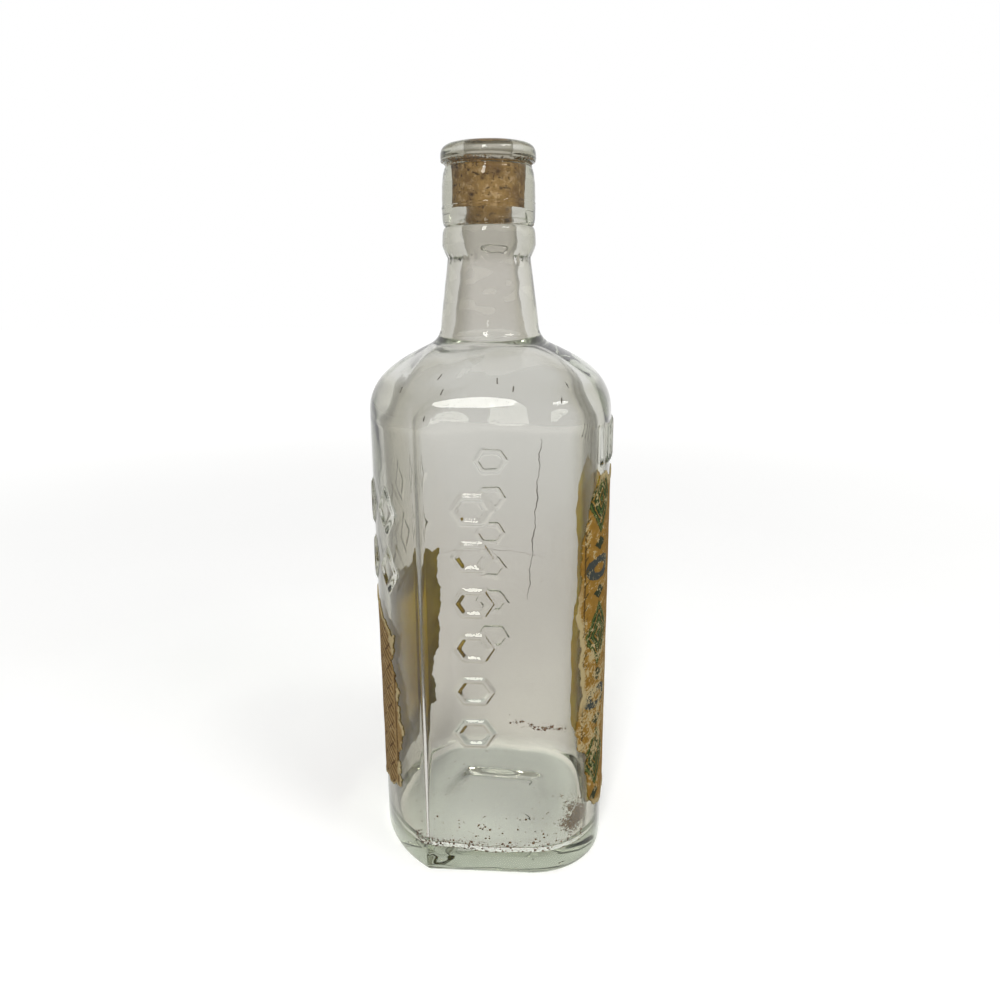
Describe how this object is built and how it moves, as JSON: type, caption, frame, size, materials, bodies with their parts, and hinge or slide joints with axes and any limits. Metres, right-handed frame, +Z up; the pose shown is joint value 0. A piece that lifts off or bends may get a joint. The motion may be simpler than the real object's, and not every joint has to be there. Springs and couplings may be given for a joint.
{
  "type": "embossed glass bottle",
  "caption": "Clear glass spirit bottle, flat-sided with a round back, raised moulded ornament, worn paper labels, and a cork that pulls up out of its neck.",
  "frame": {"origin": "on the neck's axis, on the plane that the bottle stands on", "axes": "+Z up along the neck, -Y towards the label front, +Y towards the round back, +X and -X towards the flat side panels"},
  "size_m": [0.0816, 0.0832, 0.24],
  "materials": {
    "bottle_glass": "clear moulded glass, slightly wavy, faintly green where it is thick",
    "front_paper": "matt printed paper, ochre, torn and stained",
    "back_paper": "matt printed paper, tan, torn and stained",
    "cork": "natural cork, darkened with age"
  },
  "bodies": {
    "bottle": {"glass_bottle": "bottle_glass", "front_label": "front_paper", "back_label": "back_paper"},
    "cork": {"cork": "cork"}
  },
  "joints": [
    {"name": "cork_pull", "type": "slide", "parent": "bottle", "child": "cork", "axis": [0, 0, 1], "range_m": [0, 0.05]}
  ]
}
